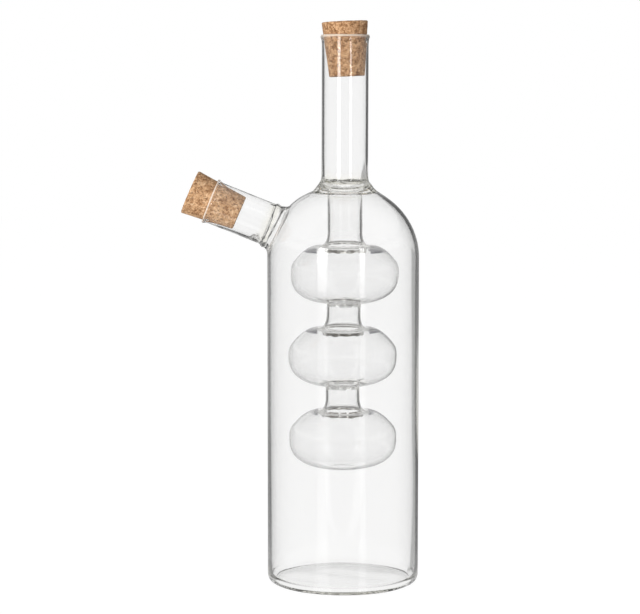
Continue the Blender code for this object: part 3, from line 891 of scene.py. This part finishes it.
dashes = wire.node("TexNoise", inputs={"Vector": place_on_glass, "Scale": DASH_SCALE, "Detail": 1.0})
dashes = dashes.clamped(*DASH_EDGE)
# Painted shade: broken dark dashes along the seams, and at half strength along the hips.
painted_seam_shade = 0
marks = [(seam + SEAM_RAISE, 1.0) for seam in seams] + [(hip - HIP_LOWER, HIP_SHARE) for hip in hips]
for height, share in marks:
    painted_seam_shade = (1 - abs(level - height * MM).clamped(*SEAM_EDGE)) * share + painted_seam_shade
tint = tint.tinted(SEAM_AND_SPOT_PAINTED_SHADE, painted_seam_shade * (1 - off_axis.clamped(*SEAM_ENDS)) * dashes)
# Painted shade: a dark wedge on each bulb's shoulder, to both sides of the axis.
painted_wedge_shade = 0
for equator, (low, inner, outer) in zip(EQUATORS, WEDGES):
    foot = (equator + low) * MM
    fade = 1 - level.clamped(foot + WEDGE_FOOT, foot + WEDGE_RISE)
    sideways = aside.band((inner * MM, (inner + WEDGE_START) * MM), ((outer - WEDGE_TIP) * MM, outer * MM))
    painted_wedge_shade = level.clamped(foot, foot + WEDGE_FOOT) * fade * fade * sideways + painted_wedge_shade
tint = tint.tinted(WEDGE_PAINTED_SHADE, painted_wedge_shade * (1 - off_axis.clamped(*WEDGE_ENDS)))
# Painted shade: dark spots about 40 mm along the spout, below a height of about 160 mm.
painted_spot_shade = (1 - abs(far_out - SPOT_PLACE).clamped(*SPOT_EDGE)) * (1 - level.clamped(*SPOT_TOP))
tint = tint.tinted(SEAM_AND_SPOT_PAINTED_SHADE, painted_spot_shade * dashes)
print("dark marks:", len(marks), "rings of dashes,", 2 * len(WEDGES), "wedges")

# %% [markdown]
# ## The glass put together
#
# The rims of the mouths are rough, and a pale peach-white layer on them is a painted highlight: the bright
# line round each rim. A shadow ray passes straight through the glass, because a lens's bright pattern on the
# table would take thousands of samples. What the glass soaks up on the way is a volume, so thick places get
# more of it.

# %% Rough rims with a painted highlight, and the whole material
NECK_RIM_BAND, SPOUT_RIM_BAND = (1.1, 0.8), (0.8, 0.6)
# The pale peach-white of the rims is a painted highlight.
PAINTED_RIM_HIGHLIGHT, RIM_HIGHLIGHT_ROUGHNESS, RIM_ROUGHNESS = (0.94, 0.82, 0.70, 1.0), 0.4, 0.35
SMEAR_EDGE, SMEAR_ROUGHNESS = (0.55, 0.95), 0.02
RIM_HIGHLIGHT_SHARE, RIM_HIGHLIGHT_PATCHY = 0.15, 0.4
SHADOW_WHITE = (0.92, 0.925, 0.92, 1.0)

rims = level.clamped(*((NECK_TOP - depth) * MM for depth in NECK_RIM_BAND))
rims = (rims + far_out.clamped(*((SPOUT_RIM - depth) * MM for depth in SPOUT_RIM_BAND))).clamped(0, 1)
surface = wire.node(
    "BsdfPrincipled",
    inputs={
        "Base Color": tint,
        "Roughness": smears.clamped(*SMEAR_EDGE) * SMEAR_ROUGHNESS + rims * RIM_ROUGHNESS,
        "IOR": GLASS_BEND,
        "Transmission Weight": 1.0,
        "Normal": bump,
    },
)
# Painted highlight: a pale, patchy opaque layer mixed over the rims.
rim_highlight_layer = wire.node("BsdfPrincipled", inputs={"Base Color": PAINTED_RIM_HIGHLIGHT, "Roughness": RIM_HIGHLIGHT_ROUGHNESS})
rim_highlight_amount = rims * (RIM_HIGHLIGHT_SHARE + smears * RIM_HIGHLIGHT_PATCHY)
surface = wire.node("MixShader", inputs={0: rim_highlight_amount, 1: surface, 2: rim_highlight_layer})
passing = wire.node("BsdfTransparent", inputs={"Color": SHADOW_WHITE})
is_shadow = wire.node("LightPath", output="Is Shadow Ray")
surface = wire.node("MixShader", inputs={0: is_shadow, 1: surface, 2: passing})
soak = wire.node("VolumeAbsorption", inputs={"Color": GLASS_SOAK, "Density": GLASS_SOAK_PER_METRE})
wire.node("OutputMaterial", inputs={"Surface": surface, "Volume": soak})
glass_mesh.materials.append(glass_material)
print("glass nodes:", len(glass_material.node_tree.nodes))

# %% [markdown]
# ## Pressed cork
#
# Granules of cork from one to four millimetres are glued together and baked. Each granule has its own
# tan, and darker bark and glue show between them. Two sizes of cells make the granules: a cell's random
# colour picks its tan, and the distance to its border makes the dark seam and the dent. The spout's cork
# is a little paler than the neck's.

# %% Granules and flecks of the cork
CORK_TANS = (
    (0.0, (0.16, 0.07, 0.028)),
    (0.22, (0.34, 0.175, 0.08)),
    (0.45, (0.52, 0.30, 0.155)),
    (0.7, (0.67, 0.42, 0.24)),
    (1.0, (0.86, 0.62, 0.40)),
)
CORK_BARK = (0.12, 0.05, 0.02, 1.0)
BIG_GRANULES, SMALL_GRANULES, BLOTCHES, FIBRES, FLECKS = 760.0, 1900.0, 250.0, 2200.0, 900.0
WANDER_SCALE, WANDER = 700.0, (0.8 * MM,) * 3

cork_material, wire = new_material("pressed_cork")
place_on_cork = wire.node("TexCoord", output=3)
blur = {"Vector": place_on_cork, "Scale": WANDER_SCALE, "Detail": 3.0}
blur = wire.node("TexNoise", inputs=blur, output=1)
wander = wire.node("VectorMath", {"operation": "MULTIPLY_ADD"}, {0: blur, 1: WANDER, 2: place_on_cork})
big_cells, small_cells = ({"Vector": wander, "Scale": scale} for scale in (BIG_GRANULES, SMALL_GRANULES))
big = wire.node("TexVoronoi", inputs=big_cells, output=1)
small = wire.node("TexVoronoi", inputs=small_cells, output=1)
border = wire.node("TexVoronoi", {"feature": "DISTANCE_TO_EDGE"}, big_cells)
fine_border = wire.node("TexVoronoi", {"feature": "DISTANCE_TO_EDGE"}, small_cells)
blotch = wire.node("TexNoise", inputs={"Vector": place_on_cork, "Scale": BLOTCHES, "Detail": 2.0})
fibre = wire.node("TexNoise", inputs={"Vector": place_on_cork, "Scale": FIBRES, "Detail": 4.0})
flecks = wire.node("TexNoise", inputs={"Vector": wander, "Scale": FLECKS, "Detail": 2.0})
print("granules about", round(1000 / BIG_GRANULES, 1), "and", round(1000 / SMALL_GRANULES, 1), "mm wide")

# %% Colour and dents of the cork
BIG_SHARE, BLOTCH_SHARE, SMALL_SHARE, FIBRE_SHARE, SHADE_SHIFT = 0.4, 0.6, 0.36, 0.9, 0.73
PALE_FROM, PALE_BY = (-0.045, -0.02), 0.12
BORDER_DARK, SEAM_FLECKS, FLECK_EDGE, SEAM_DARK, FLECK_DARK = (0, 0.12), (0.42, 0.6), (0.58, 0.68), 0.5, 0.7
BORDER_DENT, BIG_DENT, SMALL_DENT, FIBRE_DENT, FLECK_DENT = (0, 0.2), 0.6, 0.25, 0.3, 0.5
DENT_STRENGTH, DENT_DEPTH = 0.6, 0.3 * MM
CORK_ROUGHNESS, FIBRE_ROUGHNESS, CORK_BEND = 0.78, 0.2, 1.4

shade = wire.node("SeparateColor", inputs={"Color": big}) * BIG_SHARE + blotch * BLOTCH_SHARE
small_shade = wire.node("SeparateColor", inputs={"Color": small}) * SMALL_SHARE
shade = shade + small_shade + fibre * FIBRE_SHARE - SHADE_SHIFT
paler = 1 - wire.node("SeparateXYZ", inputs={"Vector": place_on_cork}).clamped(*PALE_FROM)
tan = wire.node("ValToRGB", {"stops": CORK_TANS}, {"Fac": shade + paler * PALE_BY})
seam_dark = (1 - border.clamped(*BORDER_DARK)) * flecks.clamped(*SEAM_FLECKS) * SEAM_DARK
fleck_dark = flecks.clamped(*FLECK_EDGE) * FLECK_DARK
tan = tan.tinted(CORK_BARK, seam_dark).tinted(CORK_BARK, fleck_dark)
height = border.clamped(*BORDER_DENT) * BIG_DENT + fine_border.clamped(*BORDER_DENT) * SMALL_DENT
height = height + fibre * FIBRE_DENT - fleck_dark * FLECK_DENT
dent = wire.node("Bump", inputs={"Strength": DENT_STRENGTH, "Distance": DENT_DEPTH, "Height": height})
roughness = CORK_ROUGHNESS + fibre * FIBRE_ROUGHNESS
surface = {"Base Color": tan, "Roughness": roughness, "Normal": dent, "IOR": CORK_BEND}
wire.node("OutputMaterial", inputs={"Surface": wire.node("BsdfPrincipled", inputs=surface)})
for cork in (neck_cork, spout_cork):
    cork.data.materials.append(cork_material)
print("cork nodes:", len(cork_material.node_tree.nodes))

# %% [markdown]
# ## The studio
#
# Clear glass is photographed against a bright background with a darker room round it. What is seen
# straight or through the glass is white, and what is seen by a reflection is a grey room with two tall
# soft boxes in it. The light path tells them apart: a ray that has been mirrored has a glossy depth, and
# every face of glass that it crossed adds one to its transmission depth.

# %% Rays
WHITE = (1.0, 1.0, 1.0, 1.0)
DEGREES = 180 / math.pi
RAY_FACTS = "Is Camera Ray", "Is Glossy Ray", "Is Transmission Ray", "Glossy Depth", "Transmission Depth"
UNDER_GLASS, NEAR_GLASS, FAR_OFF, FLAG_SHIFT = (0.033, 0.036), (0.1, 0.3), (0.25, 0.6), 0.03
DARK_SIDE, RISING = ((5, 15), (60, 80)), ((0.0, 0.06), (0.24, 0.3))


class Ray:
    """What is known of a ray, as wires: what it went through, and the way to the place that it lights.

    way points from the bottle to that place: a direction for the world, and a point for the floor.
    degrees is 0 behind the bottle, and grows to the right. beside is the same on the floor, but about a
    point to the right of the bottle. away, near and distant say how far off the place is on the floor.
    """

    def __init__(self, wire, way, on_floor):
        self.wire, self.on_floor = wire, on_floor
        facts = wire.node("LightPath").outputs(*RAY_FACTS)
        self.camera, self.glossy, self.through, self.mirrors, self.crossings = facts
        axes = wire.node("SeparateXYZ", inputs={"Vector": way})
        self.right, self.ahead, self.up = axes.outputs("X", "Y", "Z")
        far = wire.node("VectorMath", {"operation": "LENGTH"}, {0: way}, output=1)
        self.away, self.near = far.clamped(*UNDER_GLASS), 1 - far.clamped(*NEAR_GLASS)
        self.distant = far.clamped(*FAR_OFF)
        self.degrees = wire.maths("ARCTAN2", self.right, self.ahead) * DEGREES
        self.beside = wire.maths("ARCTAN2", self.right - FLAG_SHIFT * on_floor, self.ahead) * DEGREES
        self.dark_side, self.rising = self.degrees.band(*DARK_SIDE), self.up.band(*RISING)


# %% [markdown]
# ## What a mirrored ray shows
#
# A ray that was mirrored within a wall of glass has crossed 2, 6 or 10 faces. It shows the dark room, which
# draws the dark edges of the glass, and is paler behind the bottle on the left and overhead. A ray that
# was mirrored in front of a wall has crossed 0, 4 or 8 faces, and shows the pale front of the studio. Each
# line below is one place in the studio: its grey, and the span of angles or heights where it stands.

# %% The dark room
ROOM_GREY, SCREEN_FAR, SCREEN_NEAR, CEILING_GREY, NEAR_FLOOR = 0.04, 0.12, 0.26, 0.9, 0.95
SCREEN, LEDGE, CEILING = ((-34, -14), (2, 12)), ((0.165, 0.216), (0.3, 0.42)), (0.36, 0.44)
AHEAD, DEEP, MANY_MIRRORS = (3, 9), (4.5, 5.5), (2, 5)


def dark_room(ray):
    """The screen on the left, the ledge, the wall ahead on the floor and the ceiling, over a dark grey."""
    screen = (SCREEN_NEAR if ray.on_floor else SCREEN_FAR) - ROOM_GREY
    room = ray.degrees.band(*SCREEN) * screen * ray.distant + ROOM_GREY
    room = room.towards(CEILING_GREY, ray.up.band(*LEDGE) * (1 - ray.dark_side))
    ahead = (1 - abs(ray.degrees).clamped(*AHEAD)) * ray.distant * ray.on_floor
    room = room.towards(CEILING_GREY, ahead)
    room = room.towards(CEILING_GREY, ray.up.clamped(*CEILING) * (1 - ray.crossings.clamped(*DEEP)))
    room = room.towards(CEILING_GREY, ray.mirrors.clamped(*MANY_MIRRORS) * (1 - ray.rising))
    return (room - NEAR_FLOOR) * ray.away + NEAR_FLOOR


# %% The pale front
FACE_AHEAD, FACE_BESIDE, FACE_BEFORE = 0.42, 0.4, 0.3
BESIDE, BEFORE, DARK_SIDE_SHARE = (40, 65), (110, 140), 0.3
INNER_FACE, INNER_CROSSINGS, DEEP_FACE = 0.8, (2, 4), 1.0
LOW_GLOW = 1.2
STRIPS, STRIP_CORE = ((-0.011, -31.5, 9), (0.0105, 29.5, 5)), 0.6


def strip_on_floor(ray, shift, azimuth, half_width):
    """1 where the way to the front is within half_width of the azimuth, with soft sides."""
    turn = ray.wire.maths("ARCTAN2", ray.right + shift, ray.ahead * -1) * DEGREES
    return 1 - abs(turn - azimuth).clamped(half_width * STRIP_CORE, half_width)


def pale_front(ray):
    """Grey by how far round to the front, paler for the inner vessel, with the soft boxes' strips below."""
    off_ahead = abs(ray.degrees)
    face = FACE_AHEAD + off_ahead.clamped(*BESIDE) * FACE_BESIDE - off_ahead.clamped(*BEFORE) * FACE_BEFORE
    face = face * (1 - ray.dark_side * ray.away * DARK_SIDE_SHARE)
    face = face.towards(INNER_FACE, ray.crossings.clamped(*INNER_CROSSINGS))
    face = face.towards(DEEP_FACE, ray.crossings.clamped(*DEEP))
    strips = strip_on_floor(ray, *STRIPS[0]) + strip_on_floor(ray, *STRIPS[1])
    return face + strips * ray.away * (LOW_GLOW * ray.on_floor)


# %% [markdown]
# ## What is seen
#
# Seen straight, the studio is white. Seen through glass it is white too, but for a grey flag behind on
# the right, which gives that side of the glass its shade, and a little less white overhead. Light that
# falls on a surface such as the cork is plain, so that colours come out about as they are written.

# %% The light that a ray finds
STEEP, STEEP_CROSSINGS, STEEP_DARK = (0.25, 0.5), (4, 6), 0.1
GUIDED, GUIDED_DARK = (1, 3), 0.3
FLAG, FLAG_FOOT, FLAG_SHARE, FLAG_DEEP = ((10.5, 12.5), (21, 24)), (-0.055, -0.035), 0.6, 0.8
OVERHEAD, OVERHEAD_SHARE = (0.2, 0.5), 0.15


def reflection(ray):
    """The dark room within a wall and the pale front before it, darker for steep and for guided rays.

    Twice the fraction of a quarter of the crossings is 1 for 2, 6 or 10 faces and 0 for 0, 4 or 8.
    """
    in_wall = ray.wire.maths("FRACT", ray.crossings * 0.25) * 2
    steep = (ray.up.clamped(*STEEP) + ray.near).clamped(0, 1) * ray.crossings.clamped(*STEEP_CROSSINGS)
    mix = in_wall * dark_room(ray) + (1 - in_wall) * pale_front(ray)
    guided = ray.mirrors.clamped(*GUIDED) * ray.rising
    return mix * (1 - steep * STEEP_DARK) * (1 - guided * GUIDED_DARK)


def through_glass(ray):
    """1 less the flag and less a little overhead, for rays that come through glass."""
    flag = ray.beside.band(*FLAG) * ray.away
    flag = flag if ray.on_floor else flag * (1 - ray.up.clamped(*FLAG_FOOT))
    flag = flag * (1 - ray.crossings.clamped(*STEEP_CROSSINGS) * FLAG_DEEP) * FLAG_SHARE
    return 1 - (flag + ray.up.clamped(*OVERHEAD) * OVERHEAD_SHARE) * ray.through


def seen_light(wire, way, plain, on_floor=0):
    """(seen, mirrored, strength): white as seen, the room as seen mirrored, plain for light on surfaces."""
    ray = Ray(wire, way, on_floor)
    mirrored = ray.mirrors.clamped(0, 1)
    seen = (ray.camera + ray.glossy + ray.through).clamped(0, 1)
    sight = mirrored * reflection(ray) + (1 - mirrored) * through_glass(ray)
    return seen, mirrored, seen * sight + (1 - seen) * plain


# %% The world
PLAIN_LIGHT = 0.46

scene = bpy.context.scene
scene.world = bpy.data.worlds.new("studio")
scene.world.use_nodes = True
scene.world.node_tree.nodes.clear()
wire = Wire(scene.world.node_tree)
_, _, strength = seen_light(wire, wire.node("TexCoord"), PLAIN_LIGHT)
background = wire.node("Background", inputs={"Color": WHITE, "Strength": strength})
wire.node("OutputWorld", inputs={"Surface": background})
print("world nodes:", len(scene.world.node_tree.nodes))

# %% The floor
FLOOR_SIZE, FLOOR_LEVEL, FLOOR_PAINT = 6.0, -0.0001, (0.9, 0.9, 0.9, 1.0)
FLOOR_WHITE, FLOOR_GLOW = 1.145, 0.8


def flat_card(name, width, height):
    """A rectangle about its own middle, linked into the scene."""
    mesh = bpy.data.meshes.new(name)
    corners = [(x * width / 2, y * height / 2, 0) for x, y in ((-1, -1), (1, -1), (1, 1), (-1, 1))]
    mesh.from_pydata(corners, [], [(0, 1, 2, 3)])
    card = bpy.data.objects.new(name, mesh)
    scene.collection.objects.link(card)
    return card


floor = flat_card("floor", FLOOR_SIZE, FLOOR_SIZE)
floor.location = (0, 0, FLOOR_LEVEL)
floor_material, wire = new_material("white_table")
seen, mirrored, strength = seen_light(wire, wire.node("TexCoord", output=3), 0.0, on_floor=1)
floor_level = (1 - mirrored) * (FLOOR_WHITE - 1) + 1
glow = wire.node("Emission", inputs={"Color": WHITE, "Strength": strength * floor_level})
lit = wire.node("BsdfDiffuse", inputs={"Color": FLOOR_PAINT})
glow_share = seen * (mirrored * (1 - FLOOR_GLOW) + FLOOR_GLOW)
white_table = wire.node("MixShader", inputs={0: glow_share, 1: lit, 2: glow})
wire.node("OutputMaterial", inputs={"Surface": white_table})
floor.data.materials.append(floor_material)
print("floor nodes:", len(floor_material.node_tree.nodes))

# %% [markdown]
# ## The soft boxes
#
# Two tall lamps in front make the white strips on the glass. A lamp lights the surfaces but is hidden from
# mirrored rays, and a card in the same place is seen only by them. So the strips can be made just as
# bright as in the photograph without more light on the cork. A card is dim below and soft at its sides.

# %% Soft boxes
BOX_GLOW, BOX_DISTANCE, BOX_HEIGHT = 7.0, 1.5, 0.65
SOFT_SIDE, LOW_PART, DEEP_CROSSINGS, DEEP_DIM = 0.4, 0.12, (2, 4), 0.85


def soft_box(name, azimuth, width, power):
    """A tall lamp for surfaces and a glowing card in the same place that only mirrored rays see."""
    angle = math.radians(azimuth)
    place = (math.sin(angle) * BOX_DISTANCE, -math.cos(angle) * BOX_DISTANCE, BOX_HEIGHT / 2)
    lamp = bpy.data.lights.new(name, "AREA")
    lamp.shape, lamp.size, lamp.size_y, lamp.energy = "RECTANGLE", width, BOX_HEIGHT, power
    source = bpy.data.objects.new(name, lamp)
    scene.collection.objects.link(source)
    source.location = place
    source.rotation_euler = (math.pi / 2, 0, angle)
    source.visible_camera = source.visible_glossy = source.visible_transmission = False
    card = flat_card(name + "_card", width, BOX_HEIGHT)
    card.location, card.rotation_euler = place, source.rotation_euler
    card.visible_camera = card.visible_diffuse = card.visible_shadow = False
    material, wire = new_material(name + "_glow")
    mirrored, deep = wire.node("LightPath").outputs("Glossy Depth", "Transmission Depth")
    place_on_card = wire.node("TexCoord", output=3)
    across, up = wire.node("SeparateXYZ", inputs={"Vector": place_on_card}).outputs("X", "Y")
    edge = (1 - abs(across) * (2 / width)).clamped(0, SOFT_SIDE)
    low = up.clamped(-BOX_HEIGHT / 2, LOW_PART - BOX_HEIGHT / 2)
    glow = (1 - deep.clamped(*DEEP_CROSSINGS) * DEEP_DIM) * edge * (LOW_GLOW + low * (BOX_GLOW - LOW_GLOW))
    shine = wire.node("Emission", inputs={"Color": WHITE, "Strength": glow})
    clear = wire.node("BsdfTransparent", inputs={"Color": WHITE})
    surface = wire.node("MixShader", inputs={0: mirrored.clamped(0, 1), 1: clear, 2: shine})
    wire.node("OutputMaterial", inputs={"Surface": surface})
    card.data.materials.append(material)
    print(name, "at", [round(x, 2) for x in place])


soft_box("wide_soft_box", -32, 0.48, 20)
soft_box("narrow_soft_box", 28.5, 0.24, 1.5)

# %% [markdown]
# ## Colours as written, and enough bounces
#
# The Standard view shows a colour about as it is written. A ray through both vessels and back crosses a
# dozen faces of glass or more, so many bounces are allowed.

# %% View and bounces
MOST_BOUNCES, GLASS_BOUNCES = 48, 32
scene.view_settings.view_transform = "Standard"
scene.cycles.max_bounces = MOST_BOUNCES
scene.cycles.transmission_bounces = scene.cycles.glossy_bounces = GLASS_BOUNCES
scene.cycles.transparent_max_bounces = GLASS_BOUNCES
scene.cycles.caustics_refractive = scene.cycles.caustics_reflective = True
print("bounces:", scene.cycles.max_bounces)

# %% [markdown]
# ## What moves with what
#
# The glass rides on the body that the CAD calls glass, and each cork on its own body, so both corks can
# be drawn out. The pieces stand in for the CAD's plain solids.

# %% Riding and replacing
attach(glass, "glass")
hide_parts(*frame["record"]["behaviour"]["bodies"]["glass"])
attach(neck_cork, "neck_cork")
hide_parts("neck_cork")
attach(spout_cork, "spout_cork")
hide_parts("spout_cork")
print("pieces:", ", ".join(piece.name for piece in (glass, neck_cork, spout_cork)))
